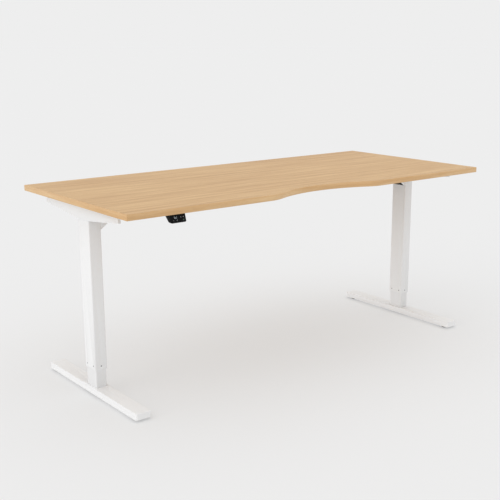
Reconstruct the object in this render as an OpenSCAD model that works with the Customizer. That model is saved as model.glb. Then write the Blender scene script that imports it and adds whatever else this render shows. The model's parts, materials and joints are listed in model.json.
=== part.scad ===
// Height adjustable standing desk with two motor-driven columns.
// Origin on the floor under the middle of the desktop. +X to the right of
// the person at the desk, +Y away from them, +Z up. Millimetres.

/* [Desktop] */
// Width of the desktop, left to right
desk_w = 1800; // [1400:10:2200]
// Depth of the desktop, front to back
desk_d = 800; // [700:10:1000]
// Height of the worktop above the floor in the stored position
desk_h = 760; // [730:1:920]
// Thickness of the desktop with its laminate
top_t = 22; // [18:1:30]
// Thickness of the glued edge band
band_t = 2; // [1:0.5:3]
// Width of the scoop in the front edge, with its blends
scoop_w = 580; // [460:10:700]
// Depth of the scoop
scoop_d = 66; // [30:1:80]
// Radius that blends the scoop into the straight edge
scoop_blend = 150; // [60:10:180]

/* [Columns] */
// Distance from the end of the desktop to the middle of a column
leg_inset = 63; // [50:1:150]
// How far the columns and feet stand from the middle of the desktop's depth
base_shift = -14; // [-40:1:40]
// Width of the upper tube, left to right
upper_x = 50; // [44:1:64]
// Depth of the upper tube, front to back
upper_y = 80; // [70:1:100]
// Wall of both tubes
tube_wall = 2; // [1.5:0.25:2.5]
// Outer corner radius of the upper tube
tube_r = 4; // [3:0.5:6]
// Play between the two tubes on each side, filled by the slide pads
tube_play = 1.5; // [1.2:0.1:2.5]
// Height of the upper tube's lower end above the floor
skirt_h = 105; // [95:1:140]
// Upward travel from the stored position
lift_up = 425; // [300:5:440]
// Downward travel from the stored position
lift_down = 55; // [20:1:60]

/* [Feet] */
// Length of a foot
foot_l = 686; // [560:2:840]
// Width of a foot over its bottom lip
foot_w = 66; // [60:1:90]
// Height of the foot pressing
foot_h = 24; // [20:1:32]
// Clear height under the foot pressing
foot_gap = 9; // [9:1:14]
// Sheet thickness of the foot
foot_wall = 2.5; // [2:0.25:3]
// Distance from the foot's end to the middle of a glide
glide_inset = 38; // [30:1:90]
// Radius of a glide's sole
glide_r = 19; // [14:1:22]

/* [Frame] */
// Sheet thickness of the side brackets and column heads
sheet_t = 3; // [2:0.5:4]
// Length of a side bracket, front to back
bracket_l = 556; // [400:2:640]
// Height of a side bracket at the column
bracket_mid_h = 57; // [50:1:70]
// Height of a side bracket at its ends
bracket_end_h = 32; // [24:1:45]
// Width of a side bracket's screw flange
bracket_flange = 68; // [60:1:90]
// Height of the crossbeam
beam_h = 40; // [34:1:50]
// Slope of the column head's lower edge
head_angle = 37; // [30:1:45]
// Depth of the column head where it meets the column
head_drop = 98; // [92:1:110]
// Distance from the desk's middle to the inner end of a column head
head_end_x = 430; // [380:5:500]
// Overlap of the middle beam and each column head
beam_overlap = 130; // [90:5:160]

/* [Drive] */
// Radius of the lead screw
spindle_r = 6; // [5:0.5:8]
// Radius of the motor
motor_r = 26; // [20:1:26]
// Length of the motor
motor_l = 100; // [70:1:120]

/* [Handset] */
// Middle of the handset, from the middle of the desk
handset_x = -698; // [-740:1:-560]
// Width of the handset
handset_w = 62; // [60:1:80]
// Slope of the handset's face
handset_tilt = 18; // [10:1:22]
// Radius of the handset's lower corners
handset_r = 6; // [2:0.5:8]
// Travel of a push button
button_travel = 0.8; // [0.4:0.1:1]

/* [Control box] */
// Length of the control box
control_l = 260; // [220:2:320]
// Depth of the control box, front to back
control_d = 78; // [70:1:100]
// Height of the control box
control_h = 31; // [30:1:40]
// Middle of the control box, from the middle of the desk
control_x = -200; // [-260:5:-150]
// Radius of a motor lead
lead_r = 2.5; // [2:0.1:3]
// Radius of the handset lead
handset_lead_r = 2; // [1.5:0.1:2.2]

/* [Hidden] */
$fn = 48;

// Clearances
gap = 0.3;        // between pieces of different moving bodies
run_fit = 0.05;   // radial play of a shaft in its bore
hole_play = 0.2;  // radial play of a bolt in its hole
eps = 1;          // how far a cutter runs past a face

// Heights of the stack under the desktop
under_z = desk_h - top_t;
head_z = under_z - sheet_t;       // top face of the column heads
tube_top_z = head_z - sheet_t;    // upper end of the upper tubes
beam_low_z = head_z + sheet_t - beam_h;
leg_x = desk_w / 2 - leg_inset;
foot_top_z = foot_gap + foot_h;

// Tubes
lower_x = upper_x - 2 * (tube_wall + tube_play);
lower_y = upper_y - 2 * (tube_wall + tube_play);
upper_in_x = upper_x - 2 * tube_wall;
upper_in_y = upper_y - 2 * tube_wall;
lower_r = tube_r - 1;
pad_t = tube_play - gap;
stud_r = 3;
stud_z = skirt_h + 14;
stud_y = 23.5;
end_plate_t = 6;

// Drive inside each column head
gearbox_h = 46;
gearbox_top_z = tube_top_z - end_plate_t;
gearbox_z = gearbox_top_z - gearbox_h;
lower_tube_top_z = gearbox_z - lift_down - 5;
pad_l = (lower_tube_top_z - skirt_h - lift_up - 4) / 2;   // the pads just miss each other fully raised
nut_h = 30;
nut_z = lower_tube_top_z - nut_h - 10;
spindle_low_z = nut_z - lift_up - 5;
apex_z = gearbox_z + 24;          // where the two bevel axes cross
gear_r = 18;
pinion_r = gear_r / 2;            // two turns of the pinion to one of the gear
cone_l = 7;
journal_r = 5;
bearing_r = 13;
bearing_h = 8;
shaft_r = 4;
gearbox_nose_y = 20;              // half width of the nose towards the motor
flange_x = upper_x / 2 + 22;      // motor flange, from the column's middle
flange_t = 6;
cap_t = 8;
motor_end_x = flange_x + motor_l + cap_t;

// Column head and crossbeam, half widths front to back
head_y = upper_y / 2 - 3;
beam_y = head_y - sheet_t - gap;
beam_t = 2.5;
beam_top_z = head_z - sheet_t - gap;
beam_l = 2 * (head_end_x + beam_overlap);
rear_inner_y = beam_y - beam_t;

// Feet
lip_h = 4.5;
lip_out = 1.5;
foot_edge_r = 3;
foot_corner_r = 8;
foot_plate_t = 5;
foot_plate_l = 130;
foot_bolt_r = 4;
foot_bolt_x = 12;
foot_bolt_y = 26;
foot_bolt_z = foot_top_z - foot_wall - foot_plate_t;   // face the bolt heads bear on
glide_t = 6;
glide_stud_r = 4;
glide_nut_z = foot_gap + 9;
glide_nut_t = 4;

// Handset face
face_h = 27.5;
face_z = under_z - cos(handset_tilt) * face_h - 2;
panel_t = 1.5;
button_w = 8;
button_h = 6;
upper_row = 17.5;
lower_row = 7.8;
handset_back_y = -desk_d / 2 + 36;

// Control box
control_y = 89 + base_shift;      // front face
control_z = head_z - control_h;
case_t = 2;
board_t = 1.6;
socket_w = 14;
socket_h = 10;
socket_z = control_z + 15;
socket_xs = [for (i = [0:2]) control_x + (i - 1) * 60];
inlet_w = 24.5;
inlet_h = 17;
inlet_d = 14;
inlet_x = control_x + 80;
inlet_z = control_z + control_h / 2;

// Lead routes
lead_z = beam_top_z - beam_t - 7;
lead_y = base_shift + 20;
motor_exit_z = apex_z + 12;
lead_bend = 9.5;                  // how far from a corner a lead starts to turn
plug_l = 14;
handset_lead_z = beam_top_z + 1 + handset_lead_r;
handset_lead_y = -desk_d / 2 + 170;

// Screws
screw_r = 2.2;
screw_head_r = 4.5;
screw_head_h = 3;
screw_in = 15;
bolt_r = 3;
bracket_screw_ys = [for (s = [-1, 1], d = [0.2, 0.44]) s * d * bracket_l];
bracket_screw_x = 12;             // inward of the column's middle
beam_bolt_xs = [for (d = [0.25, 0.75]) head_end_x + d * beam_overlap];
beam_bolt_z = beam_low_z + 17;
column_bolt_x = 14;
column_bolt_y = 26;

// ---- helpers ----

// Rectangle about the origin with round corners
module rounded_rect(w, d, r) {
    square([w - 2 * r, d], center = true);
    square([w, d - 2 * r], center = true);
    for (x = [-1, 1], y = [-1, 1])
        translate([x * (w / 2 - r), y * (d / 2 - r)]) circle(r);
}

// Frame of one column: local +X points away from the middle of the desk
module at_leg(side)
    translate([side * leg_x, base_shift, 0])
    mirror([side < 0 ? 1 : 0, 0, 0])
    children();

// Extrudes an outline drawn in X and Z along Y, centred on Y = 0
module along_y(l)
    translate([0, l / 2, 0])
    rotate([90, 0, 0])
    linear_extrude(l)
    children();

// Extrudes an outline drawn in Y and Z along X, centred on X = 0
module along_x(l)
    translate([-l / 2, 0, 0])
    rotate([90, 0, 90])
    linear_extrude(l)
    children();

// Rod along X from x1 to x2
module rod_x(x1, x2, r)
    translate([x1, 0, 0])
    rotate([0, 90, 0])
    cylinder(r = r, h = x2 - x1);

// Rod along Y from y1 to y2
module rod_y(y1, y2, r)
    translate([0, y2, 0])
    rotate([90, 0, 0])
    cylinder(r = r, h = y2 - y1);

// Frame of the handset's sloping face: X across, Z up the face, Y into the case
module on_face()
    translate([handset_x, -desk_d / 2, face_z])
    rotate([-handset_tilt, 0, 0])
    children();

// ---- desktop ----

// Points along a round arc, from one angle to another
function arc_points(middle, r, from, to, steps) =
    [for (i = [0:steps]) let (a = from + (to - from) * i / steps) middle + r * [cos(a), sin(a)]];

// Plan of the desktop, drawn smaller by inset all round. The scoop is one
// shallow arc, blended into the straight front edge at both ends.
module desktop_outline(inset) {
    half = scoop_w / 2;
    arc = (half * half + scoop_d * scoop_d) / (2 * scoop_d) - scoop_blend;
    front = -desk_d / 2;
    arc_y = front + scoop_d - arc;
    blend_y = front + scoop_blend;
    turn = atan2(blend_y - arc_y, half);
    end_x = desk_w / 2 - inset;
    scoop = arc_points([0, arc_y], arc + inset, 180 - turn, turn, 36);
    polygon(concat(
        [[end_x, desk_d / 2 - inset], [-end_x, desk_d / 2 - inset], [-end_x, front + inset]],
        arc_points([-half, blend_y], scoop_blend - inset, -90, -turn, 8),
        [for (i = [1:len(scoop) - 2]) scoop[i]],
        arc_points([half, blend_y], scoop_blend - inset, turn - 180, -90, 8),
        [[end_x, front + inset]]));
}

// Blind holes for every screw that enters the desktop from below
module screw_holes() {
    for (p = concat(bracket_screws(), lid_screws(), handset_screws()))
        translate([p[0], p[1], under_z - eps])
            cylinder(r = screw_r + hole_play, h = screw_in + 1 + eps);
}

module tabletop() {
    color([0.83, 0.70, 0.53])
    difference() {
        translate([0, 0, under_z]) linear_extrude(top_t) desktop_outline(band_t);
        screw_holes();
    }
}

module edge_band() {
    color([0.87, 0.73, 0.55])
    translate([0, 0, under_z])
    linear_extrude(top_t)
    difference() {
        desktop_outline(0);
        desktop_outline(band_t);
    }
}

// ---- feet ----

// Pressed foot as a solid, drawn smaller by inset all round but the bottom
module foot_solid(inset) {
    w = foot_w - 2 * lip_out - 2 * inset;
    l = foot_l - 2 * lip_out - 2 * inset;
    top = foot_top_z - inset;
    r = max(foot_edge_r - inset, 0.5);
    intersection() {
        translate([0, 0, foot_gap]) linear_extrude(foot_h)
            rounded_rect(w, l, foot_corner_r - inset);
        along_y(l + 2) union() {
            translate([-w / 2 + r, foot_gap]) square([w - 2 * r, top - foot_gap]);
            translate([-w / 2, foot_gap]) square([w, top - foot_gap - r]);
            for (s = [-1, 1]) translate([s * (w / 2 - r), top - r]) circle(r);
        }
        along_x(w + 2) union() {
            translate([-l / 2 + r, foot_gap]) square([l - 2 * r, top - foot_gap]);
            translate([-l / 2, foot_gap]) square([l, top - foot_gap - r]);
            for (s = [-1, 1]) translate([s * (l / 2 - r), top - r]) circle(r);
        }
    }
}

module foot_bolt_pattern()
    for (x = [-1, 1], y = [-1, 1])
        translate([x * foot_bolt_x, y * foot_bolt_y, 0]) children();

module foot_beam(side) {
    color([0.94, 0.94, 0.94])
    at_leg(side)
    difference() {
        union() {
            foot_solid(0);
            translate([0, 0, foot_gap]) linear_extrude(lip_h)
                rounded_rect(foot_w, foot_l, foot_corner_r + lip_out);
        }
        // hollow, open below
        for (d = [0, eps]) translate([0, 0, -d]) foot_solid(foot_wall);
        foot_bolt_pattern()
            translate([0, 0, foot_gap]) cylinder(r = foot_bolt_r + hole_play, h = foot_h + eps);
    }
}

module foot_plates() {
    color([0.55, 0.56, 0.58])
    for (side = [-1, 1]) at_leg(side)
    difference() {
        translate([0, 0, foot_top_z - foot_wall - foot_plate_t])
            linear_extrude(foot_plate_t)
            square([foot_w - 2 * (lip_out + foot_wall + 0.6), foot_plate_l], center = true);
        foot_bolt_pattern()
            translate([0, 0, foot_gap]) cylinder(r = foot_bolt_r + hole_play, h = foot_h);
    }
}

// Places of the two glides in a foot: end = -1 is the front, 1 the back
function glide_y(end) = end * (foot_l / 2 - glide_inset);

module glide(side, end) {
    color([0.08, 0.08, 0.08])
    at_leg(side) translate([0, glide_y(end), 0]) {
        cylinder(r1 = glide_r - 1, r2 = glide_r, h = 1);
        translate([0, 0, 1]) cylinder(r = glide_r, h = 3);
        translate([0, 0, 4]) cylinder(r1 = glide_r, r2 = glide_r - 3, h = glide_t - 4);
        translate([0, 0, glide_t])
            cylinder(r = 7.5, h = glide_nut_z - glide_t - gap, $fn = 6);
        translate([0, 0, glide_t]) cylinder(r = glide_stud_r, h = foot_top_z - foot_wall - 2 - glide_t);
    }
}

module glide_nuts() {
    color([0.62, 0.63, 0.65])
    for (side = [-1, 1], end = [-1, 1]) at_leg(side) translate([0, glide_y(end), glide_nut_z])
    difference() {
        union() {
            linear_extrude(glide_nut_t)
                square([foot_w - 2 * (lip_out + foot_wall), 30], center = true);
            cylinder(r = 7.5, h = glide_nut_t + 4, $fn = 6);
        }
        translate([0, 0, -eps])
            cylinder(r = glide_stud_r + run_fit, h = glide_nut_t + 4 + 2 * eps);
    }
}

module foot_bolts() {
    color([0.72, 0.73, 0.75])
    for (side = [-1, 1]) at_leg(side)
    foot_bolt_pattern() {
        translate([0, 0, foot_bolt_z])
            cylinder(r = foot_bolt_r, h = foot_wall + foot_plate_t + end_plate_t);
        translate([0, 0, foot_bolt_z - 5]) difference() {
            cylinder(r = 6.5, h = 5);
            translate([0, 0, -eps]) cylinder(r = 3.4, h = 3 + eps, $fn = 6);
        }
    }
}

// ---- columns ----

module lower_tube(side) {
    color([0.90, 0.90, 0.90])
    at_leg(side) {
        translate([0, 0, foot_top_z]) linear_extrude(lower_tube_top_z - foot_top_z)
        difference() {
            rounded_rect(lower_x, lower_y, lower_r);
            rounded_rect(lower_x - 2 * tube_wall, lower_y - 2 * tube_wall, lower_r - tube_wall + 0.5);
        }
        // welded end plate that takes the foot bolts
        translate([0, 0, foot_top_z]) linear_extrude(end_plate_t + 2)
        difference() {
            rounded_rect(lower_x - tube_wall, lower_y - tube_wall, 1);
            foot_bolt_pattern() circle(foot_bolt_r + run_fit);
        }
        // welded carrier that holds the spindle nut
        translate([0, 0, nut_z - 4]) linear_extrude(4)
        difference() {
            rounded_rect(lower_x - tube_wall, lower_y - tube_wall, 1);
            circle(spindle_r + 2);
        }
    }
}

module upper_tube(side) {
    color([0.95, 0.95, 0.95])
    at_leg(side) {
        difference() {
            translate([0, 0, skirt_h]) linear_extrude(tube_top_z - skirt_h)
            difference() {
                rounded_rect(upper_x, upper_y, tube_r);
                rounded_rect(upper_in_x, upper_in_y, tube_r - tube_wall);
            }
            // window for the gearbox nose in the inner wall
            translate([-upper_x / 2 - eps, -gearbox_nose_y - 2, gearbox_z - 10])
                cube([tube_wall + 2 * eps, 2 * gearbox_nose_y + 4, gearbox_h + 10]);
            // holes for the slide pad's studs
            translate([0, 0, stud_z]) {
                for (y = [-1, 1]) translate([0, y * stud_y, 0])
                    rod_x(-upper_x, upper_x, stud_r + 0.1);
                rod_y(-upper_y, upper_y, stud_r + 0.1);
            }
        }
        // welded top plate that takes the column bolts
        translate([0, 0, gearbox_top_z]) linear_extrude(end_plate_t)
        difference() {
            rounded_rect(upper_in_x + tube_wall, upper_in_y + tube_wall, 2);
            column_bolt_pattern() circle(bolt_r + run_fit);
        }
    }
}

module column_bolt_pattern()
    for (x = [-1, 1], y = [-1, 1])
        translate([x * column_bolt_x, y * column_bolt_y, 0]) children();

module lower_slide_pad(side) {
    color([0.62, 0.62, 0.62])
    at_leg(side) {
        translate([0, 0, skirt_h + 1]) linear_extrude(pad_l)
        difference() {
            rounded_rect(upper_in_x, upper_in_y, tube_r - tube_wall);
            rounded_rect(upper_in_x - 2 * pad_t, upper_in_y - 2 * pad_t, 1);
        }
        translate([0, 0, stud_z]) {
            for (x = [-1, 1], y = [-1, 1]) translate([0, y * stud_y, 0])
                rod_x(min(x * (upper_in_x / 2 - 0.5), x * (upper_x / 2 - 0.3)),
                      max(x * (upper_in_x / 2 - 0.5), x * (upper_x / 2 - 0.3)), stud_r);
            for (y = [-1, 1])
                rod_y(min(y * (upper_in_y / 2 - 0.5), y * (upper_y / 2 - 0.3)),
                      max(y * (upper_in_y / 2 - 0.5), y * (upper_y / 2 - 0.3)), stud_r);
        }
    }
}

module upper_slide_pads() {
    color([0.62, 0.62, 0.62])
    for (side = [-1, 1]) at_leg(side)
    translate([0, 0, lower_tube_top_z - pad_l]) linear_extrude(pad_l)
    difference() {
        rounded_rect(lower_x + 2 * pad_t, lower_y + 2 * pad_t, lower_r);
        rounded_rect(lower_x, lower_y, lower_r);
    }
}

// ---- drive ----

module spindle(side) {
    color([0.66, 0.67, 0.70])
    at_leg(side) {
        translate([0, 0, spindle_low_z]) cylinder(r = spindle_r, h = gearbox_z - 3 - spindle_low_z);
        translate([0, 0, gearbox_z - 3]) cylinder(r = journal_r, h = apex_z - 9 - gearbox_z + 3);
    }
}

module spindle_nut(side) {
    color([0.90, 0.86, 0.72])
    at_leg(side) translate([0, 0, nut_z])
    difference() {
        union() {
            linear_extrude(8) rounded_rect(lower_x - 2 * tube_wall - 1, lower_y - 2 * tube_wall - 1, 1);
            cylinder(r = 14, h = nut_h);
        }
        translate([0, 0, -eps]) cylinder(r = spindle_r + run_fit, h = nut_h + 2 * eps);
    }
}

module spindle_bearings() {
    color([0.75, 0.76, 0.78])
    for (side = [-1, 1]) at_leg(side) translate([0, 0, gearbox_z])
    difference() {
        cylinder(r = bearing_r, h = bearing_h);
        translate([0, 0, -eps]) cylinder(r = journal_r + run_fit, h = bearing_h + 2 * eps);
        for (z = [0, bearing_h]) translate([0, 0, z]) rotate_extrude()
            translate([journal_r + 3, -0.4]) square([2.5, 0.8]);
    }
}

// Frustum of a bevel gear about Z, apex at the origin, cone opening downwards
module bevel(r, apex_to_back, hub_r, hub_h) {
    tip_share = 1 - cone_l / norm([r, apex_to_back]);
    translate([0, 0, -apex_to_back])
        cylinder(r1 = r, r2 = r * tip_share, h = apex_to_back * (1 - tip_share));
    translate([0, 0, -apex_to_back - hub_h]) cylinder(r = hub_r, h = hub_h);
}

module bevel_gear(side) {
    color([0.85, 0.83, 0.76])
    at_leg(side) translate([0, 0, apex_z])
    difference() {
        translate([0, 0, -gap]) bevel(gear_r, pinion_r, gear_r - 2, 5);
        translate([0, 0, -30]) cylinder(r = journal_r, h = 60);
    }
}

module bevel_pinion(side) {
    color([0.70, 0.70, 0.72])
    at_leg(side) translate([0, 0, apex_z]) rotate([0, 90, 0]) {
        translate([0, 0, -gap]) bevel(pinion_r - gap, gear_r, shaft_r, flange_x - gear_r - gap);
    }
}

module gearbox(side) {
    color([0.12, 0.12, 0.12])
    at_leg(side)
    difference() {
        union() {
            translate([0, 0, gearbox_z]) linear_extrude(gearbox_h)
                rounded_rect(upper_in_x - 1, upper_in_y - 4, 3);
            translate([-flange_x, -gearbox_nose_y, gearbox_z + 4])
                cube([flange_x - upper_x / 2 + 6, 2 * gearbox_nose_y, 2 * (apex_z - gearbox_z - 4)]);
        }
        // gear chamber
        translate([-19, -gear_r - 2, gearbox_z + bearing_h])
            cube([38, 2 * gear_r + 4, gearbox_h - bearing_h - 4]);
        // bearing seat and spindle passage
        translate([0, 0, gearbox_z - eps]) cylinder(r = bearing_r, h = bearing_h + 2 * eps);
        // pinion shaft passage
        translate([0, 0, apex_z]) rod_x(-flange_x - eps, -10, shaft_r + run_fit);
        column_bolt_pattern() translate([0, 0, gearbox_top_z - 12]) cylinder(r = bolt_r + 1, h = 13);
    }
}

module motor(side) {
    color([0.20, 0.20, 0.21])
    at_leg(side) translate([0, 0, apex_z]) {
        difference() {
            union() {
                rod_x(-flange_x - flange_t, -flange_x, motor_r + 1);
                rod_x(-flange_x - motor_l, -flange_x, motor_r);
            }
            rod_x(-flange_x - 3, -flange_x + eps, shaft_r + 2);
            for (a = [0:60:300]) rotate([a, 0, 0])
                translate([-flange_x - motor_l - eps, 0, motor_r - 1.2])
                cube([8, 8, 3], center = true);
        }
        rod_x(-flange_x - motor_l - cap_t, -flange_x - motor_l, motor_r - 3);
    }
}

// Lower edge of a column head, measured from the column's inner face
function head_slope_x(z_drop) = z_drop / tan(head_angle);

module column_head(side) {
    inner = -leg_x + head_end_x;             // inner end, seen from the column
    face = -upper_x / 2;                     // column's inner face
    low = head_z - head_drop + sheet_t;
    slope = head_slope_x(beam_low_z - low);
    color([0.88, 0.88, 0.88])
    at_leg(side)
    difference() {
        union() {
            // top web
            translate([inner, -head_y, head_z - sheet_t])
                cube([upper_x / 2 - inner, 2 * head_y, sheet_t]);
            // two side flanges
            for (s = [-1, 1]) translate([0, s * (head_y - sheet_t / 2), 0]) along_y(sheet_t)
                polygon([[face, head_z - sheet_t / 2], [face, low], [face - slope, beam_low_z],
                         [inner, beam_low_z], [inner, head_z - sheet_t / 2]]);
        }
        column_bolt_pattern() translate([0, 0, head_z - sheet_t - eps])
            cylinder(r = bolt_r + hole_play, h = sheet_t + 2 * eps);
        for (x = beam_bolt_xs) translate([x - leg_x, 0, beam_bolt_z])
            rod_y(-head_y - eps, head_y + eps, bolt_r + hole_play);
    }
}

module motor_cover(side) {
    wall = 2;
    face = -upper_x / 2 - gap;
    low = head_z - head_drop + sheet_t + 1.5;
    floor_z = apex_z - motor_r - 5 - wall;
    top = beam_low_z + 12;
    slope = head_slope_x(floor_z - low);
    end = -motor_end_x - 8;
    color([0.10, 0.10, 0.10])
    at_leg(side)
    difference() {
        along_y(2 * (head_y - sheet_t) - 2 * gap)
            polygon([[face, low], [face - slope, floor_z], [end, floor_z], [end, top], [face, top]]);
        along_y(2 * (head_y - sheet_t - wall) - 2 * gap)
            polygon([[face + eps, low + wall * 1.25 - eps * tan(head_angle)],
                     [face - slope, floor_z + wall], [end + wall, floor_z + wall],
                     [end + wall, top + eps], [face + eps, top + eps]]);
    }
}

// ---- frame ----

module side_bracket(side) {
    outer = upper_x / 2 + sheet_t;           // outer face, from the column's middle
    h1 = bracket_mid_h;
    h2 = bracket_end_h;
    half = bracket_l / 2;
    flat = upper_y / 2 + 4;                  // half length of the level stretch
    color([0.97, 0.97, 0.97])
    at_leg(side) translate([0, -base_shift, 0])
    difference() {
        union() {
            translate([outer - sheet_t / 2, 0, under_z]) along_x(sheet_t)
                polygon([[-half, 0], [-half, -h2], [base_shift - flat, -h1], [base_shift + flat, -h1],
                         [half, -h2], [half, 0]]);
            translate([outer - bracket_flange, -half, under_z - sheet_t])
                cube([bracket_flange, bracket_l, sheet_t]);
            // folded ends
            for (s = [-1, 1])
                translate([outer - 10, s * (half - sheet_t / 2) - sheet_t / 2, under_z - h2])
                cube([10, sheet_t, h2]);
        }
        for (y = bracket_screw_ys) translate([-bracket_screw_x, y, under_z - sheet_t - eps])
            cylinder(r = screw_r + hole_play, h = sheet_t + 2 * eps);
        translate([0, base_shift, 0]) column_bolt_pattern() {
            translate([0, 0, under_z - sheet_t - eps])
                cylinder(r = bolt_r + hole_play, h = sheet_t + 2 * eps);
            translate([0, 0, under_z - sheet_t + gap])
                cylinder(r1 = bolt_r + hole_play, r2 = bolt_r + hole_play + sheet_t, h = sheet_t + 0.01);
        }
    }
}

module crossbeam() {
    color([0.86, 0.86, 0.86])
    translate([0, base_shift, 0])
    difference() {
        translate([-beam_l / 2, -beam_y, beam_low_z])
            cube([beam_l, 2 * beam_y, beam_top_z - beam_low_z]);
        translate([-beam_l / 2 - eps, -rear_inner_y, beam_low_z - eps])
            cube([beam_l + 2 * eps, 2 * rear_inner_y, beam_top_z - beam_low_z - beam_t + eps]);
        for (x = beam_bolt_xs, s = [-1, 1]) translate([s * x, 0, beam_bolt_z])
            rod_y(-head_y, head_y, bolt_r + hole_play);
        // passages for the two motor leads
        for (i = [0, 2]) translate([socket_xs[i], 0, lead_z]) rod_y(0, head_y, lead_r + 3);
    }
}

module damping_pads() {
    color([0.25, 0.25, 0.25])
    for (s = [-1, 1], x = [head_end_x + 30, leg_x - 150])
        translate([s * x - 15, base_shift - 20, head_z]) cube([30, 40, sheet_t]);
}

module frame_bolts() {
    color([0.72, 0.73, 0.75]) {
        for (side = [-1, 1]) at_leg(side) column_bolt_pattern() {
            translate([0, 0, gearbox_top_z - 4])
                cylinder(r = bolt_r, h = head_z - gearbox_top_z + 4 + gap);
            translate([0, 0, head_z + gap]) difference() {
                cylinder(r1 = bolt_r, r2 = bolt_r + sheet_t - gap, h = sheet_t - gap);
                translate([0, 0, 1]) cylinder(r = 2, h = sheet_t, $fn = 6);
            }
        }
        for (side = [-1, 1], x = beam_bolt_xs, s = [-1, 1])
            translate([side * x, base_shift, beam_bolt_z]) mirror([0, s < 0 ? 1 : 0, 0]) {
                rod_y(rear_inner_y - 4, head_y, bolt_r);
                rod_y(head_y, head_y + 3.5, 5.5);
            }
    }
}

// Screw places under the desktop, in plan
function bracket_screws() =
    [for (s = [-1, 1], y = bracket_screw_ys) [s * (leg_x - bracket_screw_x), y]];
function lid_screws() =
    [for (s = [-1, 1], d = [0.2, 0.8]) [control_x + s * (control_l / 2 + 9), control_y + d * control_d]];
function handset_screws() = [for (s = [-1, 1]) [handset_x + s * 20, handset_back_y - 8]];

// Pan-head wood screw whose head bears on a plate's underside at height z
module wood_screw(z) {
    translate([0, 0, z]) cylinder(r = screw_r, h = under_z - z + screw_in - 2);
    translate([0, 0, under_z + screw_in - 2]) cylinder(r1 = screw_r, r2 = 0.3, h = 2);
    difference() {
        translate([0, 0, z - screw_head_h])
            cylinder(r1 = screw_head_r - 1, r2 = screw_head_r, h = screw_head_h);
        translate([0, 0, z - screw_head_h - eps]) for (a = [0, 90]) rotate(a)
            translate([-2.5, -0.6, 0]) cube([5, 1.2, 1.6 + eps]);
    }
}

module desktop_screws() {
    color([0.70, 0.71, 0.73]) {
        for (p = bracket_screws()) translate([p[0], p[1], 0]) wood_screw(head_z);
        for (p = lid_screws()) translate([p[0], p[1], 0]) wood_screw(head_z);
        for (p = handset_screws()) translate([p[0], p[1], 0]) wood_screw(under_z - 4);
    }
}

// ---- control box ----

module control_case() {
    color([0.13, 0.13, 0.14])
    translate([control_x, control_y, control_z])
    difference() {
        union() {
            difference() {
                translate([0, control_d / 2, 0]) linear_extrude(control_h)
                    rounded_rect(control_l, control_d, 4);
                translate([0, control_d / 2, case_t]) linear_extrude(control_h)
                    rounded_rect(control_l - 2 * case_t, control_d - 2 * case_t, 2);
            }
            for (x = [-1, 1], y = [14, control_d - 14])
                translate([x * (control_l / 2 - 14), y, 0]) cylinder(r = 4, h = 6);
        }
        for (x = socket_xs)
            translate([x - control_x - socket_w / 2, -eps, socket_z - control_z - socket_h / 2])
            cube([socket_w, case_t + 2 * eps, socket_h]);
        translate([inlet_x - control_x - inlet_w / 2 - 2, control_d - case_t - eps,
                   inlet_z - control_z - inlet_h / 2 - 2])
            cube([inlet_w + 4, case_t + 2 * eps, inlet_h + 4]);
    }
}

module control_lid() {
    color([0.16, 0.16, 0.17])
    difference() {
        translate([control_x, control_y + control_d / 2, head_z]) linear_extrude(sheet_t)
            rounded_rect(control_l + 36, control_d, 6);
        for (p = lid_screws()) translate([p[0], p[1], head_z - eps])
            cylinder(r = screw_r + hole_play, h = sheet_t + 2 * eps);
    }
}

module control_board() {
    translate([control_x, control_y, control_z]) {
        color([0.10, 0.32, 0.20]) translate([-control_l / 2 + 6, 6, 6])
            cube([control_l - 12, control_d - 28, board_t]);
        // transformer, capacitors and relays
        color([0.75, 0.62, 0.20]) translate([-control_l / 2 + 40, 16, 6 + board_t])
            cube([44, 32, 20]);
        color([0.15, 0.15, 0.30]) for (i = [0:2]) translate([-10 + i * 19, 36, 6 + board_t])
            cylinder(r = 8, h = 18);
        color([0.20, 0.20, 0.22]) for (i = [0:1]) translate([48 + i * 24, 26, 6 + board_t])
            cube([19, 15, 15]);
    }
}

module mains_inlet() {
    color([0.07, 0.07, 0.07])
    translate([inlet_x, control_y + control_d, inlet_z]) {
        difference() {
            translate([-inlet_w / 2 - 1.7, -inlet_d - 2, -inlet_h / 2 - 1.7])
                cube([inlet_w + 3.4, inlet_d + 2, inlet_h + 3.4]);
            translate([-inlet_w / 2, -inlet_d, -inlet_h / 2]) cube([inlet_w, inlet_d + eps, inlet_h]);
        }
        for (p = [[-7, -6.5], [7, -6.5], [0, -2.5]])
            translate([p[0] - 1, -inlet_d - 1, p[1]]) cube([2, inlet_d - 1, 4]);
    }
}

module lead_sockets() {
    color([0.85, 0.85, 0.82])
    for (x = socket_xs) translate([x, control_y, socket_z])
    difference() {
        translate([-socket_w / 2 + 0.1, -1, -socket_h / 2 + 0.1])
            cube([socket_w - 0.2, 13, socket_h - 0.2]);
        translate([-socket_w / 2 + 1.5, -1 - eps, -socket_h / 2 + 1.5])
            cube([socket_w - 3, 9 + eps, socket_h - 3]);
    }
}

// ---- leads ----

function unit(v) = v / norm(v);

// Points of a route with each inner corner rounded into five steps
function rounded_route(p, r) = concat([p[0]],
    [for (i = [1:len(p) - 2], t = [0:0.25:1])
        let (a = p[i] + r * unit(p[i - 1] - p[i]), b = p[i] + r * unit(p[i + 1] - p[i]))
        (1 - t) * (1 - t) * a + 2 * t * (1 - t) * p[i] + t * t * b],
    [p[len(p) - 1]]);

// Direction of a route at one of its points
function heading(p, i) = unit(p[min(i + 1, len(p) - 1)] - p[max(i - 1, 0)]);

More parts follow.
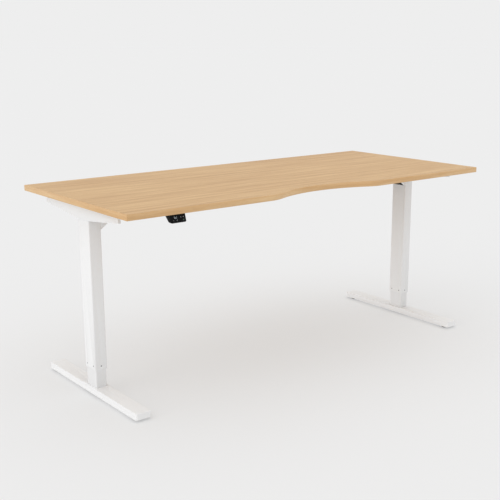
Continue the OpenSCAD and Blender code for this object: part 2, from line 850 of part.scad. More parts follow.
// Round tube swept along a route that never runs straight up or down
module lead_tube(route, r, sides = 8) {
    rings = [for (i = [0:len(route) - 1])
        let (t = heading(route, i), across = unit(cross(t, [0, 0, 1])), over = cross(across, t))
        [for (k = [0:sides - 1])
            route[i] + r * (cos(k * 360 / sides) * across + sin(k * 360 / sides) * over)]];
    last = (len(route) - 1) * sides;
    polyhedron(
        points = [for (ring = rings, q = ring) q],
        faces = concat(
            [[for (k = [sides - 1:-1:0]) k]],
            [[for (k = [0:sides - 1]) last + k]],
            [for (i = [0:len(route) - 2], k = [0:sides - 1])
                let (a = i * sides + k, b = i * sides + (k + 1) % sides)
                [a, b, b + sides, a + sides]]));
}

// Plug body that sits in a socket of the control box
module plug(x)
    translate([x - socket_w / 2 + 1.8, control_y - plug_l, socket_z - socket_h / 2 + 1.8])
    cube([socket_w - 3.6, plug_l + 6, socket_h - 3.6]);

function motor_route(side, x) = rounded_route([
    [side * (leg_x - motor_end_x), base_shift, motor_exit_z],
    [side * (leg_x - motor_end_x - 20), base_shift, motor_exit_z],
    [side * (leg_x - motor_end_x - 70), lead_y, lead_z],
    [x, lead_y, lead_z],
    [x, control_y - plug_l - 18, lead_z],
    [x, control_y - plug_l, socket_z]], lead_bend);

module motor_lead(side) {
    x = side < 0 ? socket_xs[0] : socket_xs[2];
    color([0.10, 0.10, 0.10]) {
        lead_tube(motor_route(side, x), lead_r);
        plug(x);
    }
}

handset_route = [
    [handset_x, handset_back_y, under_z - 5],
    [handset_x, handset_back_y + 12, under_z - 5],
    [handset_x, handset_back_y + 38, handset_lead_z],
    [handset_x, handset_lead_y, handset_lead_z],
    [socket_xs[1], handset_lead_y, handset_lead_z],
    [socket_xs[1], base_shift + beam_y, handset_lead_z],
    [socket_xs[1], control_y - plug_l - 18, handset_lead_z],
    [socket_xs[1], control_y - plug_l, socket_z]];

module handset_lead() {
    color([0.10, 0.10, 0.10]) {
        lead_tube(rounded_route(handset_route, lead_bend / 2), handset_lead_r);
        plug(socket_xs[1]);
    }
}

// Saddle clip that hangs below z_top and holds a lead of radius r at height z
module clip(z_top, z, r)
    difference() {
        translate([-5, -r - 2, z - r - 1.2]) cube([10, 2 * r + 4, z_top - z + r + 1.2]);
        translate([0, 0, z]) rod_x(-6, 6, r + 0.15);
    }

// Clips under the crossbeam, to the left and right of the outer sockets
beam_clip_xs = concat([for (d = [-230, -60]) socket_xs[0] + d],
                      [for (d = [70, 260, 450]) socket_xs[2] + d]);

module lead_clips() {
    color([0.93, 0.93, 0.93]) {
        for (x = beam_clip_xs)
            translate([x, lead_y, 0]) clip(beam_top_z - beam_t, lead_z, lead_r);
        for (x = [handset_x + 60, handset_x + 180, handset_x + 300, socket_xs[1] - 60])
            translate([x, handset_lead_y, 0]) clip(under_z, handset_lead_z, handset_lead_r);
        for (p = [[handset_x, handset_lead_y - 25], [socket_xs[1], handset_lead_y + 60]])
            translate([p[0], p[1], 0]) rotate(90) clip(under_z, handset_lead_z, handset_lead_r);
    }
}

// ---- handset ----

module handset_case() {
    front = -desk_d / 2;
    color([0.07, 0.07, 0.08])
    difference() {
        intersection() {
            translate([handset_x, 0, 0]) along_x(handset_w)
                polygon([[front, face_z], [front + 2, face_z - 2], [front + 13, face_z - 2],
                         [handset_back_y, under_z - 9], [handset_back_y, under_z],
                         [front + tan(handset_tilt) * (under_z - face_z), under_z]]);
            translate([handset_x, front + 40, 0]) along_y(120) union() {
                translate([-handset_w / 2, face_z - 2 + handset_r])
                    square([handset_w, under_z - face_z + 2 - handset_r]);
                translate([-handset_w / 2 + handset_r, face_z - 2])
                    square([handset_w - 2 * handset_r, under_z - face_z + 2]);
                for (s = [-1, 1]) translate([s * (handset_w / 2 - handset_r), face_z - 2 + handset_r])
                    circle(handset_r);
            }
        }
        on_face() {
            translate([-handset_w / 2 + 2, -eps, 1.5]) cube([handset_w - 4, panel_t + eps, face_h - 3]);
            translate([-handset_w / 2 + 4, 0, 3.5]) cube([handset_w - 8, 9.5, face_h - 7]);
        }
        for (p = handset_screws()) translate([p[0], p[1], 0]) {
            translate([0, 0, face_z]) cylinder(r = screw_head_r + 0.5, h = under_z - 4 - face_z);
            translate([0, 0, face_z]) cylinder(r = screw_r + hole_play, h = 60);
        }
    }
}

// Middle of each push button on the face
button_at = [[11, upper_row], [21.5, upper_row], [-20, lower_row], [-6, lower_row], [20, lower_row]];
display_at = [-11, upper_row];
display_w = 24;
display_h = 9;

module handset_panel() {
    color([0.03, 0.03, 0.04])
    on_face()
    difference() {
        translate([-handset_w / 2 + 2.1, 0, 1.6]) cube([handset_w - 4.2, panel_t, face_h - 3.2]);
        for (b = button_at)
            translate([b[0] - button_w / 2 - gap, -eps, b[1] - button_h / 2 - gap])
                cube([button_w + 2 * gap, panel_t + 2 * eps, button_h + 2 * gap]);
        translate([display_at[0] - display_w / 2 - 0.1, -eps, display_at[1] - display_h / 2 - 0.1])
            cube([display_w + 0.2, panel_t + 2 * eps, display_h + 0.2]);
    }
}

module display_window() {
    color([0.10, 0.12, 0.12])
    on_face() translate([display_at[0] - display_w / 2, 0.1, display_at[1] - display_h / 2])
        cube([display_w, 3, display_h]);
}

module handset_board() {
    on_face() {
        color([0.10, 0.32, 0.20])
            translate([-handset_w / 2 + 4.5, 7.9, 4]) cube([handset_w - 9, 1.6, face_h - 8]);
        color([0.30, 0.30, 0.32]) for (b = button_at)
            translate([b[0] - 2, 6 + button_travel + 0.2, b[1] - 2]) cube([4, 1.7 - button_travel, 4]);
        color([0.12, 0.12, 0.14])
            translate([display_at[0] - display_w / 2, 3.4, display_at[1] - 4]) cube([display_w, 4.5, 8]);
    }
}

module button(i) {
    color([0.12, 0.12, 0.13])
    on_face() translate([button_at[i][0], 0, button_at[i][1]]) {
        translate([0, 6, 0]) rotate([90, 0, 0]) linear_extrude(7) rounded_rect(button_w, button_h, 1.5);
        translate([-button_w / 2 - 0.8, panel_t + gap, -button_h / 2 - 0.8])
            cube([button_w + 1.6, 1, button_h + 1.6]);
    }
}

tabletop();
edge_band();
foot_beam(-1);  // foot_beam_left
foot_beam(1);  // foot_beam_right
foot_plates();
lower_tube(-1);  // lower_tube_left
lower_tube(1);  // lower_tube_right
upper_tube(-1);  // upper_tube_left
upper_tube(1);  // upper_tube_right
lower_slide_pad(-1);  // lower_slide_pad_left
lower_slide_pad(1);  // lower_slide_pad_right
upper_slide_pads();
spindle(-1);  // spindle_left
spindle(1);  // spindle_right
spindle_nut(-1);  // spindle_nut_left
spindle_nut(1);  // spindle_nut_right
spindle_bearings();
gearbox(-1);  // gearbox_left
gearbox(1);  // gearbox_right
bevel_gear(-1);  // bevel_gear_left
bevel_gear(1);  // bevel_gear_right
bevel_pinion(-1);  // bevel_pinion_left
bevel_pinion(1);  // bevel_pinion_right
motor(-1);  // motor_left
motor(1);  // motor_right
motor_cover(-1);  // motor_cover_left
motor_cover(1);  // motor_cover_right
column_head(-1);  // column_head_left
column_head(1);  // column_head_right
side_bracket(-1);  // side_bracket_left
side_bracket(1);  // side_bracket_right
crossbeam();
damping_pads();
glide(-1, -1);  // glide_front_left
glide(-1, 1);  // glide_back_left
glide(1, -1);  // glide_front_right
glide(1, 1);  // glide_back_right
glide_nuts();
control_case();
control_lid();
control_board();
mains_inlet();
lead_sockets();
handset_case();
handset_panel();
display_window();
handset_board();
button(0);  // button_up
button(1);  // button_down
button(2);  // button_one
button(3);  // button_two
button(4);  // button_memory
motor_lead(-1);  // motor_lead_left
motor_lead(1);  // motor_lead_right
handset_lead();
lead_clips();
desktop_screws();
frame_bolts();
foot_bolts();
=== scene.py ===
import json
import math

import bmesh
import bpy
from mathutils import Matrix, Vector


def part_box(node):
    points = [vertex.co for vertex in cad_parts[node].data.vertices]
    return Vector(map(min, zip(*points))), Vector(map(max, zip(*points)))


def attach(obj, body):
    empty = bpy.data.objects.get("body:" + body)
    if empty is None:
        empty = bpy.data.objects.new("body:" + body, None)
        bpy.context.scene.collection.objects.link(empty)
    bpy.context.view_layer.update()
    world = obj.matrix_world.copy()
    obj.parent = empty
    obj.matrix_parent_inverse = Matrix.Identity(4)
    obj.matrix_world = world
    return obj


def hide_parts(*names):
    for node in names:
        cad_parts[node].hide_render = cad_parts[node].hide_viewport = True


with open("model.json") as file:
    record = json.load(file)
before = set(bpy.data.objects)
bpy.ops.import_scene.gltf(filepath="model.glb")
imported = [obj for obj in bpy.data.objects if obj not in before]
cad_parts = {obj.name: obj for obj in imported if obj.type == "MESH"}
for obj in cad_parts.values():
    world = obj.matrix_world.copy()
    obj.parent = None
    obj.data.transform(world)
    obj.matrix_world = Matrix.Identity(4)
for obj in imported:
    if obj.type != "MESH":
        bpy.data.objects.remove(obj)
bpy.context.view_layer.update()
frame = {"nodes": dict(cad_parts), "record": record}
scene = bpy.context.scene
scene.view_settings.view_transform = "Standard"


def linear(code):  # "D8B58C" to the linear colour a socket takes
    parts = [int(code[i:i + 2], 16) / 255 for i in (0, 2, 4)]
    return [c / 12.92 if c <= 0.04045 else ((c + 0.055) / 1.055) ** 2.4 for c in parts] + [1.0]


class Wire:  # a node's output that can stand in a sum
    def __init__(self, finish, socket):
        self.finish, self.socket = finish, socket

    def maths(self, operation, first, second):
        return self.finish.add("Math", {"operation": operation}, {0: first, 1: second})

    def __add__(self, other):
        return self.maths("ADD", self, other)

    def __radd__(self, other):
        return self.maths("ADD", other, self)

    def __sub__(self, other):
        return self.maths("SUBTRACT", self, other)

    def __rsub__(self, other):
        return self.maths("SUBTRACT", other, self)

    def __mul__(self, other):
        return self.maths("MULTIPLY", self, other)

    def __rmul__(self, other):
        return self.maths("MULTIPLY", other, self)


class Finish:  # one material and the nodes that make it
    def __init__(self, name):
        self.material = bpy.data.materials.new(name)
        self.material.use_nodes = True
        self.tree = self.material.node_tree
        self.shader = self.tree.nodes["Principled BSDF"]
        self.place = self.add("TexCoord", output="Object")

    def add(self, kind, settings=None, sockets=None, output=0):
        node = self.tree.nodes.new("ShaderNode" + kind)
        for name, value in (settings or {}).items():
            setattr(node, name, value)
        for key, value in (sockets or {}).items():
            self.feed(node.inputs[key], value)
        return Wire(self, node.outputs[output])

    def feed(self, socket, value):
        if isinstance(value, Wire):
            self.tree.links.new(value.socket, socket)
        else:
            socket.default_value = value

    def surface(self, **values):  # sockets of the shader, with _ for a space
        for name, value in values.items():
            self.feed(self.shader.inputs[name.replace("_", " ")], value)

    def noise(self, size, detail=2.0, stretch=(1, 1, 1), roughness=0.5):
        spread = self.add("VectorMath", {"operation": "MULTIPLY"}, {0: self.place, 1: stretch})
        return self.add("TexNoise", None, {"Vector": spread, "Scale": size, "Detail": detail,
                                           "Roughness": roughness})

    def along(self, direction):  # distance of the shaded point along a direction
        return self.add("VectorMath", {"operation": "DOT_PRODUCT"}, {0: self.place, 1: direction},
                        output="Value")

    def blend(self, amount, first, second, mode="MIX"):
        return self.add("Mix", {"data_type": "RGBA", "blend_type": mode},
                        {0: amount, 6: first, 7: second}, output=2)

    def relief(self, height, depth):
        return self.add("Bump", None, {"Height": height, "Distance": depth, "Strength": 1.0},
                        output="Normal")


def ramp(value, low, high):  # 0 below low, 1 above high
    return value.finish.add("MapRange", None, {"Value": value, "From Min": low, "From Max": high})


beech = {"light": "D3AE79", "dark": "B88E5A", "fleck": "986E40",
         "streakSize": 46, "streakStretch": 0.05, "streakShare": 0.7,
         "poreSize": 520, "poreStretch": 0.02, "poreShare": 0.2, "poreDepth": 0.00006,
         "patchSize": 5, "patchStretch": 0.25, "patchShare": 0.25, "toneRange": (0.44, 0.70),
         "dashSize": 728, "dashStretch": 0.05, "dashRange": (0.64, 0.72), "fleckShare": 0.5,
         "roughness": 0.42, "roughnessSpread": 0.12}
beechEdge = dict(beech, light="E1BF90", dark="CA9F6C", fleck="AC804E")


def woodFinish(name, look, band=False):
    # the grain runs along X on the board, and along each edge on the band
    wood = Finish(name)
    if band:
        wood.place = wood.add("CombineXYZ", None,
                              {"X": wood.along((1, 1, 0)), "Y": wood.along((0, 0, 1))})
    streaks = wood.noise(look["streakSize"], 4, (look["streakStretch"], 1, 1), 0.6)
    pores = wood.noise(look["poreSize"], 3, (look["poreStretch"], 1, 1), 0.6)
    dashes = wood.noise(look["dashSize"], 1, (look["dashStretch"], 1, 1))
    patches = wood.noise(look["patchSize"], 2, (look["patchStretch"], 1, 1))
    tone = ramp(streaks * look["streakShare"] + patches * look["patchShare"]
                + pores * look["poreShare"], *look["toneRange"])
    base = wood.blend(tone, linear(look["light"]), linear(look["dark"]))
    flecks = ramp(dashes, *look["dashRange"]) * look["fleckShare"]
    wood.surface(Base_Color=wood.blend(flecks, base, linear(look["fleck"])),
                 Roughness=look["roughness"] + pores * look["roughnessSpread"],
                 Normal=wood.relief(pores, look["poreDepth"]))
    return wood.material


# the inner colour is the same white powder coat made a touch darker for the parts under the desk:
# painted shade, not a different paint
paint = {"colour": "ECECEC", "innerColour": "E6E6E6", "shade": "E9E9E9",
         "driftSize": 3.5, "driftRange": (0.3, 0.7), "peelSize": 620, "peelDepth": 0.00012,
         "speckSize": 2600, "speckShare": 0.35, "roughness": 0.40, "roughnessSpread": 0.12}


def powderCoat(name, colour):
    coat = Finish(name)
    peel = coat.noise(paint["peelSize"], 2)
    speck = coat.noise(paint["speckSize"], 1)
    drift = ramp(coat.noise(paint["driftSize"], 3), *paint["driftRange"])
    coat.surface(Base_Color=coat.blend(drift, linear(colour), linear(paint["shade"])),
                 Roughness=paint["roughness"] + peel * paint["roughnessSpread"],
                 Normal=coat.relief(peel + speck * paint["speckShare"], paint["peelDepth"]))
    return coat.material


plastics = {
    "moulded black": {"colour": "0C0C0D", "worn": "151516", "grainSize": 1500,
                      "depth": 0.00010, "roughness": 0.42, "gloss": 0.12},
    "motor enamel": {"colour": "2A2A2C", "worn": "363639", "grainSize": 500,
                     "depth": 0.00006, "roughness": 0.38, "gloss": 0.5},
    "glide rubber": {"colour": "131313", "worn": "242424", "grainSize": 900,
                     "depth": 0.00014, "roughness": 0.72, "gloss": 0.5},
    "pad rubber": {"colour": "2E2E2E", "worn": "3C3C3C", "grainSize": 700,
                   "depth": 0.00016, "roughness": 0.8, "gloss": 0.5},
    "lead sheath": {"colour": "141415", "worn": "1F1F20", "grainSize": 1100,
                    "depth": 0.00005, "roughness": 0.5, "gloss": 0.5},
    "slider grey": {"colour": "8E9193", "worn": "9DA0A2", "grainSize": 800,
                    "depth": 0.00005, "roughness": 0.45, "gloss": 0.5},
    "nut polymer": {"colour": "D9D4C4", "worn": "E4E0D2", "grainSize": 800,
                    "depth": 0.00005, "roughness": 0.5, "gloss": 0.5},
    "clip white": {"colour": "DEDEDA", "worn": "E6E6E3", "grainSize": 900,
                   "depth": 0.00005, "roughness": 0.42, "gloss": 0.5},
    "button black": {"colour": "101011", "worn": "1A1A1B", "grainSize": 2400,
                     "depth": 0.00004, "roughness": 0.44, "gloss": 0.2},
}
handling = {"size": 40, "range": (0.45, 0.75), "roughnessSpread": 0.14}  # wear on every plastic


def plastic(name):
    look = plastics[name]
    moulded = Finish(name)
    grain = moulded.noise(look["grainSize"], 2)
    wear = moulded.noise(handling["size"], 4, roughness=0.6)
    moulded.surface(Base_Color=moulded.blend(ramp(wear, *handling["range"]),
                                             linear(look["colour"]), linear(look["worn"])),
                    Roughness=look["roughness"] + wear * handling["roughnessSpread"],
                    Specular_IOR_Level=look["gloss"], Normal=moulded.relief(grain, look["depth"]))
    return moulded.material


metals = {
    "zinc plate": {"colour": "B9BABD", "tarnish": "A8A6A0", "roughness": 0.34,
                   "brush": (1, 1, 1), "brushSize": 300},
    "ground steel": {"colour": "C6C7CA", "tarnish": "B4B3B0", "roughness": 0.2,
                     "brush": (60, 60, 1), "brushSize": 60},
}
tarnish = {"size": 60, "range": (0.4, 0.7), "roughnessSpread": 0.2, "depth": 0.00004}


def metal(name):
    look = metals[name]
    steel = Finish(name)
    marks = steel.noise(look["brushSize"], 3, look["brush"])
    film = ramp(steel.noise(tarnish["size"], 3), *tarnish["range"])
    steel.surface(Base_Color=steel.blend(film, linear(look["colour"]), linear(look["tarnish"])),
                  Roughness=look["roughness"] + marks * tarnish["roughnessSpread"],
                  Metallic=1.0, Normal=steel.relief(marks, tarnish["depth"]))
    return steel.material


circuit = {"green": "1D5A3A", "copper": "2E7750", "trackSize": 260, "jitter": 0.6,
           "trackRange": (0.04, 0.09), "depth": 0.00003, "roughness": 0.35,
           "roughnessSpread": 0.1}


def circuitFinish():
    card = Finish("circuit board")
    tracks = card.add("TexVoronoi", {"feature": "DISTANCE_TO_EDGE", "distance": "MANHATTAN"},
                      {"Vector": card.place, "Scale": circuit["trackSize"],
                       "Randomness": circuit["jitter"]})
    copper = 1 - ramp(tracks, *circuit["trackRange"])
    card.surface(Base_Color=card.blend(copper, linear(circuit["green"]), linear(circuit["copper"])),
                 Roughness=circuit["roughness"] + copper * circuit["roughnessSpread"],
                 Normal=card.relief(copper, circuit["depth"]))
    return card.material


glass = {"panelColour": "060607", "panelRoughness": 0.12,
         "displayColour": "0B0D0E", "displayRoughness": 0.08,
         "smearColour": "121214", "smearSize": 45, "smearRange": (0.5, 0.8), "gloss": 0.12,
         "hazeRange": (0.45, 0.75), "roughnessSpread": 0.12, "depth": 0.00001}


def glassFinish(name, colour, roughness):
    pane = Finish(name)
    smear = pane.noise(glass["smearSize"], 4, roughness=0.65)
    pane.surface(Base_Color=pane.blend(ramp(smear, *glass["smearRange"]), linear(colour),
                                       linear(glass["smearColour"])),
                 Roughness=roughness + ramp(smear, *glass["hazeRange"]) * glass["roughnessSpread"],
                 Specular_IOR_Level=glass["gloss"], Normal=pane.relief(smear, glass["depth"]))
    return pane.material


inkLook = {"digits": "C4CCD0", "digitGlow": 0.12, "icons": "A4A6A8", "iconGlow": 0.05,
           "memory": "7FAE90", "memoryGlow": 0.1,
           "inkSize": 900, "roughness": 0.4, "roughnessSpread": 0.1}


def printFinish(name, colour, glow):
    ink = Finish(name)
    cover = ink.noise(inkLook["inkSize"], 2)
    ink.surface(Base_Color=ink.blend(cover, linear(colour), linear("FFFFFF"), "MULTIPLY"),
                Roughness=inkLook["roughness"] + cover * inkLook["roughnessSpread"],
                Emission_Color=linear(colour), Emission_Strength=glow)
    return ink.material


finishes = {
    "desktop_laminate": woodFinish("beech laminate", beech),
    "white_paint": powderCoat("white powder coat", paint["colour"]),
    # the same white, darker for the parts under the desk: painted shade
    "white_paint_inner": powderCoat("white powder coat inside", paint["innerColour"]),
    "zinc_steel": metal("zinc plate"),
    "ground_steel": metal("ground steel"),
    "grey_slider": plastic("slider grey"),
    "nut_polymer": plastic("nut polymer"),
    "black_housing": plastic("moulded black"),
    "motor_enamel": plastic("motor enamel"),
    "glide_rubber": plastic("glide rubber"),
    "pad_rubber": plastic("pad rubber"),
    "circuit_board": circuitFinish(),
    "lead_sheath": plastic("lead sheath"),
    "clip_white": plastic("clip white"),
    "button_black": plastic("button black"),
    "panel_gloss": glassFinish("gloss panel", glass["panelColour"], glass["panelRoughness"]),
    "display_smoke": glassFinish("smoked display", glass["displayColour"],
                                 glass["displayRoughness"]),
    "edge_laminate": woodFinish("beech edging", beechEdge, band=True),
}
print("finishes made:", len(finishes))


record = frame["record"]
slotOf = {part["node"]: part["material_slot"] for part in record["subparts"]}
bodyOf = {node: body for body, nodes in record["behaviour"]["bodies"].items() for node in nodes}


def pieceName(node):  # foot_beam_left to footBeamLeft
    first, *rest = node.split("_")
    return first + "".join(word.capitalize() for word in rest)


def meshFrom(shape, name):
    mesh = bpy.data.meshes.new(name)
    shape.to_mesh(mesh)
    shape.free()
    return mesh


def makePiece(name, mesh, body, material, replaced=()):
    piece = bpy.data.objects.new(name, mesh)
    scene.collection.objects.link(piece)
    piece.data.materials.append(material)
    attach(piece, body)
    if replaced:
        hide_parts(*replaced)
    return piece


rounding = {"steps": 2, "sharpAngle": 30, "flatAngle": 1, "weld": 0.00001}
edgeWidths = {
    "edge_band": 0.0015, "column_head": 0.0006, "side_bracket": 0.0007, "crossbeam": 0.0006,
    "foot_beam": 0.0005, "upper_tube": 0.0005, "lower_tube": 0.0004, "motor_cover": 0.0012,
    "control_case": 0.0008, "control_lid": 0.0006, "handset_case": 0.0008,
    "handset_panel": 0.0002, "display_window": 0.0002, "button": 0.0004,
    "glide_front": 0.0006, "glide_back": 0.0006, "gearbox": 0.0008, "motor_left": 0.0008,
    "motor_right": 0.0008, "damping_pads": 0.0005, "lead_clips": 0.0003,
    "mains_inlet": 0.0004, "lead_sockets": 0.0003, "foot_plates": 0.0006,
    "frame_bolts": 0.0003, "foot_bolts": 0.0003, "lower_slide_pad": 0.0003,
    "upper_slide_pads": 0.0003, "spindle_nut": 0.0005, "glide_nuts": 0.0004,
}


def softEdges(node, width):
    # the frame's own shape with its sharp edges rounded off
    shape = bmesh.new()
    shape.from_mesh(frame["nodes"][node].data)
    bmesh.ops.remove_doubles(shape, verts=shape.verts, dist=rounding["weld"])
    bmesh.ops.dissolve_limit(shape, angle_limit=math.radians(rounding["flatAngle"]),
                             verts=shape.verts, edges=shape.edges)
    for face in shape.faces:
        face.smooth = True
    piece = makePiece(pieceName(node), meshFrom(shape, pieceName(node)), bodyOf[node],
                      finishes[slotOf[node]], [node])
    bevel = piece.modifiers.new("rounding", "BEVEL")
    bevel.width, bevel.segments = width, rounding["steps"]
    bevel.limit_method, bevel.angle_limit = "ANGLE", math.radians(rounding["sharpAngle"])
    bevel.harden_normals = True


softened = 0
for node, cad in frame["nodes"].items():
    cad.data.materials.clear()
    cad.data.materials.append(finishes[slotOf[node]])
    width = next((size for start, size in edgeWidths.items() if node.startswith(start)), None)
    if width:
        softEdges(node, width)
        softened += 1
print("pieces with rounded edges:", softened)


leads = {"motorRadius": 0.0025, "handsetRadius": 0.002, "bend": 0.0095,
         "socketStep": 0.060,     # between neighbouring sockets
         "exitRise": 0.012,       # from the motor's middle up to where its lead comes out
         "exitRun": 0.020, "slopeEnd": 0.070, "rowStep": 0.020,
         "underBeam": 0.0095,     # from the crossbeam's top down to the motor leads
         "overBeam": 0.003,       # from the crossbeam's top up to the handset lead
         "plugRun": 0.032, "plugEnd": 0.0135,
         "handsetDrop": 0.005, "handsetRun": 0.012, "handsetRise": 0.038, "handsetTurn": 0.170}


def rounded(points, reach):
    # the route with each inner corner turned into a short curve
    route = [points[0]]
    for before, corner, after in zip(points, points[1:], points[2:]):
        start = corner + reach * (before - corner).normalized()
        end = corner + reach * (after - corner).normalized()
        route += [start.lerp(corner, share).lerp(corner.lerp(end, share), share)
                  for share in (0, 0.25, 0.5, 0.75, 1)]
    return route + [points[-1]]


def leadTube(node, corners, bend, radius):
    points = rounded([Vector(corner) for corner in corners], bend)
    route = bpy.data.curves.new(pieceName(node), "CURVE")
    route.dimensions, route.bevel_depth, route.bevel_resolution = "3D", radius, 5
    route.use_fill_caps = True
    line = route.splines.new("POLY")
    line.points.add(len(points) - 1)
    for place, point in zip(line.points, points):
        place.co = (*point, 1)
    makePiece(pieceName(node), route, bodyOf[node], finishes["lead_sheath"], [node])


plug = {"halfWide": 0.0052, "halfHigh": 0.0032, "corner": 0.0008,
        "tail": ((-0.0140, 0.0029, 0.0027), (-0.0128, 0.0044, 0.0030)),
        "shoulder": -0.0118, "grooves": (-0.0094, -0.0062), "grooveDepth": 0.0004,
        "grooveWide": 0.0016, "noseStart": 0.0056, "nose": (0.0060, 0.0048, 0.0028)}


def leadPlug(node, x, front, middle):
    # moulded plug with two grip grooves, drawn as rings along its length
    full = (plug["halfWide"], plug["halfHigh"])
    depth = plug["grooveDepth"]
    deep = (full[0] - depth, full[1] - depth)
    rings = [*plug["tail"], (plug["shoulder"], *full)]
    for start in plug["grooves"]:
        end = start + plug["grooveWide"]
        rings += [(start, *full), (start + depth, *deep), (end - depth, *deep), (end, *full)]
    rings += [(plug["noseStart"], *full), plug["nose"]]
    shape = bmesh.new()
    loops = []
    for y, wide, high in rings:
        flat, side = wide - plug["corner"], high - plug["corner"]
        outline = [(-flat, -high), (flat, -high), (wide, -side), (wide, side),
                   (flat, high), (-flat, high), (-wide, side), (-wide, -side)]
        loops.append([shape.verts.new((x + across, front + y, middle + up))
                      for across, up in outline])
    for near, far in zip(loops, loops[1:]):
        for i in range(len(near)):
            j = (i + 1) % len(near)
            shape.faces.new((near[i], near[j], far[j], far[i]))
    shape.faces.new(loops[0][::-1])
    shape.faces.new(loops[-1])
    bmesh.ops.recalc_face_normals(shape, faces=shape.faces)
    name = pieceName(node) + "Plug"
    makePiece(name, meshFrom(shape, name), bodyOf[node], finishes["lead_sheath"])


def middleOf(node):
    low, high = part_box(node)
    return (low + high) / 2


beamBack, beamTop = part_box("crossbeam")[1].y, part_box("crossbeam")[1].z
sockets = middleOf("lead_sockets")
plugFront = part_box("control_case")[0].y
plugBend, plugBack = plugFront - leads["plugRun"], plugFront - leads["plugEnd"]
columnY = middleOf("upper_tube_left").y
leadZ = beamTop - leads["underBeam"]
rowY = columnY + leads["rowStep"]
for side, node, motor in ((-1, "motor_lead_left", "motor_left"),
                          (1, "motor_lead_right", "motor_right")):
    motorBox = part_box(motor)
    exitX = motorBox[1].x if side < 0 else motorBox[0].x
    exitZ = middleOf(motor).z + leads["exitRise"]
    x = sockets.x + side * leads["socketStep"]
    corners = [(exitX, columnY, exitZ), (exitX - side * leads["exitRun"], columnY, exitZ),
               (exitX - side * leads["slopeEnd"], rowY, leadZ), (x, rowY, leadZ),
               (x, plugBend, leadZ), (x, plugBack, sockets.z)]
    leadTube(node, corners, leads["bend"], leads["motorRadius"])
    leadPlug(node, x, plugFront, sockets.z)

handsetX = middleOf("handset_case").x
handsetFront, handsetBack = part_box("handset_case")[0].y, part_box("handset_case")[1].y
overBeam = beamTop + leads["overBeam"]
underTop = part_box("tabletop")[0].z - leads["handsetDrop"]
turnY = handsetFront + leads["handsetTurn"]
corners = [(handsetX, handsetBack, underTop),
           (handsetX, handsetBack + leads["handsetRun"], underTop),
           (handsetX, handsetBack + leads["handsetRise"], overBeam),
           (handsetX, turnY, overBeam), (sockets.x, turnY, overBeam),
           (sockets.x, beamBack, overBeam), (sockets.x, plugBend, overBeam),
           (sockets.x, plugBack, sockets.z)]
leadTube("handset_lead", corners, leads["bend"] / 2, leads["handsetRadius"])
leadPlug("handset_lead", sockets.x, plugFront, sockets.z)
print("leads and plugs made")


handset = {"tilt": 18, "panelMargin": 0.0016, "panelThick": 0.0015, "printThick": 0.00004}
tilt = math.radians(handset["tilt"])
inward = Vector((0, math.cos(tilt), -math.sin(tilt)))
upFace = Vector((0, math.sin(tilt), math.cos(tilt)))
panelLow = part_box("handset_panel")[0]
marginY = handset["panelMargin"] * math.sin(tilt)
marginZ = handset["panelMargin"] * math.cos(tilt) - handset["panelThick"] * math.sin(tilt)
faceFoot = Vector((handsetX, panelLow.y - marginY, panelLow.z - marginZ))  # foot of the face


def printed(name, outlines, body, material, depth):
    # thin shapes on the handset's face; depth is how far into the face they sit
    shape = bmesh.new()
    thick = handset["printThick"] * inward
    for outline in outlines:
        back = [shape.verts.new(faceFoot + Vector((x, 0, 0)) + up * upFace + depth * inward)
                for x, up in outline]
        front = [shape.verts.new(corner.co - thick) for corner in back]
        shape.faces.new(front)
        shape.faces.new(back[::-1])
        for i in range(len(back)):
            j = (i + 1) % len(back)
            shape.faces.new((back[i], back[j], front[j], front[i]))
    bmesh.ops.recalc_face_normals(shape, faces=shape.faces)
    makePiece(name, meshFrom(shape, name), body, material)


def bar(start, end, width):
    # stroke between two points, with pointed ends as on a segment display
    near, far = Vector(start), Vector(end)
    along = (far - near).normalized()
    across = Vector((-along.y, along.x)) * width / 2
    tip = along * width / 2
    return [near, near + tip + across, far - tip + across,
            far, far - tip - across, near + tip - across]


segments = {"0": "abcdef", "1": "bc", "2": "abged", "3": "abgcd", "4": "fgbc", "5": "afgcd",
            "6": "afgedc", "7": "abc", "8": "abcdefg", "9": "abcdfg"}
segmentEnds = {"a": (-1, 1, 1, 1), "b": (1, 1, 1, 0), "c": (1, 0, 1, -1), "d": (-1, -1, 1, -1),
               "e": (-1, -1, -1, 0), "f": (-1, 0, -1, 1), "g": (-1, 0, 1, 0)}


def digit(mark, x, up, wide, high, stroke):
    # outlines of one digit whose middle is at x, up
    bars = []
    for name in segments[mark]:
        startX, startUp, endX, endUp = segmentEnds[name]
        bars.append(bar((x + startX * wide / 2, up + startUp * high / 2),
                        (x + endX * wide / 2, up + endUp * high / 2), stroke))
    return bars


display = {"reading": "76.0", "middle": (-0.011, 0.0175), "digitHigh": 0.0056,
           "digitWide": 0.0030, "digitStep": 0.0048, "stroke": 0.0006, "halfPoint": 0.0004,
           "depth": 0.00004}
readout, x = [], display["middle"][0] - display["digitStep"]
for mark in display["reading"]:
    if mark == ".":
        half = display["halfPoint"]
        pointX = x - display["digitStep"] / 2
        pointUp = display["middle"][1] - display["digitHigh"] / 2
        readout.append([(pointX - half, pointUp - half), (pointX + half, pointUp - half),
                        (pointX + half, pointUp + half), (pointX - half, pointUp + half)])
    else:
        readout += digit(mark, x, display["middle"][1], display["digitWide"],
                         display["digitHigh"], display["stroke"])
        x += display["digitStep"]
digitPrint = printFinish("display digits", inkLook["digits"], inkLook["digitGlow"])
printed("displayDigits", readout, bodyOf["display_window"], digitPrint, display["depth"])


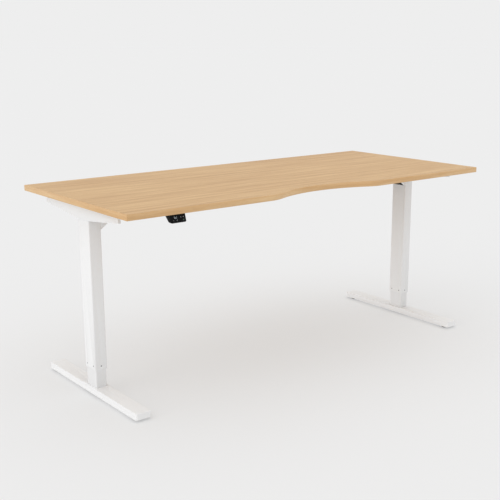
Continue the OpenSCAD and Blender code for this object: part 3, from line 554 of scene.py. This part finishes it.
buttons = {"places": {"button_up": (0.011, 0.0175), "button_down": (0.0215, 0.0175),
                      "button_one": (-0.020, 0.0078), "button_two": (-0.006, 0.0078),
                      "button_memory": (0.020, 0.0078)},
           "proud": 0.0010,       # how far the buttons stand out of the face
           "arrowHalf": 0.0017, "stemShare": 0.3, "digitHigh": 0.0032, "oneWide": 0.0002,
           "twoWide": 0.0018, "stroke": 0.0005, "ringOuter": 0.0017, "ringInner": 0.0012,
           "ringParts": 24}


def arrow(x, up, way):
    half = buttons["arrowHalf"]
    stem = half * buttons["stemShare"]
    return [[(x - half, up), (x, up + way * half), (x + half, up)],
            [(x - stem, up - way * half), (x - stem, up), (x + stem, up),
             (x + stem, up - way * half)]]


def ring(x, up):
    turns = [2 * math.pi * i / buttons["ringParts"] for i in range(buttons["ringParts"] + 1)]
    inner, outer = ([(x + radius * math.cos(turn), up + radius * math.sin(turn)) for turn in turns]
                    for radius in (buttons["ringInner"], buttons["ringOuter"]))
    return [[inner[i], outer[i], outer[i + 1], inner[i + 1]] for i in range(buttons["ringParts"])]


def buttonDigit(mark, x, up, wide):
    return digit(mark, x, up, wide, buttons["digitHigh"], buttons["stroke"])


places = buttons["places"]
icons = {"button_up": arrow(*places["button_up"], 1),
         "button_down": arrow(*places["button_down"], -1),
         "button_one": buttonDigit("1", *places["button_one"], buttons["oneWide"]),
         "button_two": buttonDigit("2", *places["button_two"], buttons["twoWide"]),
         "button_memory": ring(*places["button_memory"])}
iconPrint = printFinish("button print", inkLook["icons"], inkLook["iconGlow"])
memoryPrint = printFinish("memory print", inkLook["memory"], inkLook["memoryGlow"])
for node, outlines in icons.items():
    material = memoryPrint if node == "button_memory" else iconPrint
    printed(pieceName(node) + "Icon", outlines, bodyOf[node], material, -buttons["proud"])
print("display digits and button icons made")


studio = {"floorSize": 400, "floorColour": "ADADAD", "floorGlow": 0.392, "backdrop": "EEEEEE",
          "mottleSize": 1.3, "mottleShade": 0.997, "floorRoughness": 0.9,
          "key": 0.38, "keySpread": 50, "keyFrom": (-0.87, 0.0, 0.50),
          "low": 0.42, "lowSpread": 30, "lowFrom": (-0.98, -0.08, 0.12),
          "top": 0.56, "topSpread": 90, "topFrom": (0.0, 0.0, 1.0)}


def floor():
    finish = Finish("studio floor")
    mottle = finish.noise(studio["mottleSize"], 2)
    pale = linear(studio["floorColour"])
    shade = [part * studio["mottleShade"] for part in pale]
    finish.surface(Base_Color=finish.blend(mottle, pale, shade),
                   Roughness=studio["floorRoughness"], Specular_IOR_Level=0.0,
                   Emission_Color=(1, 1, 1, 1), Emission_Strength=studio["floorGlow"])
    shape = bmesh.new()
    bmesh.ops.create_grid(shape, x_segments=4, y_segments=4, size=studio["floorSize"] / 2)
    ground = bpy.data.objects.new("studioFloor", meshFrom(shape, "studioFloor"))
    ground.data.materials.append(finish.material)
    scene.collection.objects.link(ground)


def softLight(name):
    lamp = bpy.data.lights.new(name + "Light", "SUN")
    lamp.energy, lamp.angle = studio[name], math.radians(studio[name + "Spread"])
    holder = bpy.data.objects.new(name + "Light", lamp)
    source = Vector(studio[name + "From"])
    holder.rotation_euler = (-source).to_track_quat("-Z", "Y").to_euler()
    scene.collection.objects.link(holder)


floor()
world = bpy.data.worlds.new("studio")
world.use_nodes = True
world.node_tree.nodes["Background"].inputs["Color"].default_value = linear(studio["backdrop"])
scene.world = world
for name in ("key", "low", "top"):
    softLight(name)

view = {"place": (-2.32204, -2.90334, 1.31017), "down": 0.24224, "turn": -0.67871,
        "lens": 63.69584, "sensor": 36, "shift": (-0.037688, 0.020102), "clipEnd": 200}
lens = bpy.data.cameras.new("camera")
lens.sensor_width, lens.lens, lens.clip_end = view["sensor"], view["lens"], view["clipEnd"]
lens.shift_x, lens.shift_y = view["shift"]
camera = bpy.data.objects.new("camera", lens)
camera.location = view["place"]
camera.rotation_euler = (math.pi / 2 - view["down"], 0, view["turn"])
scene.collection.objects.link(camera)
scene.camera = camera
print("stage, light and camera set")
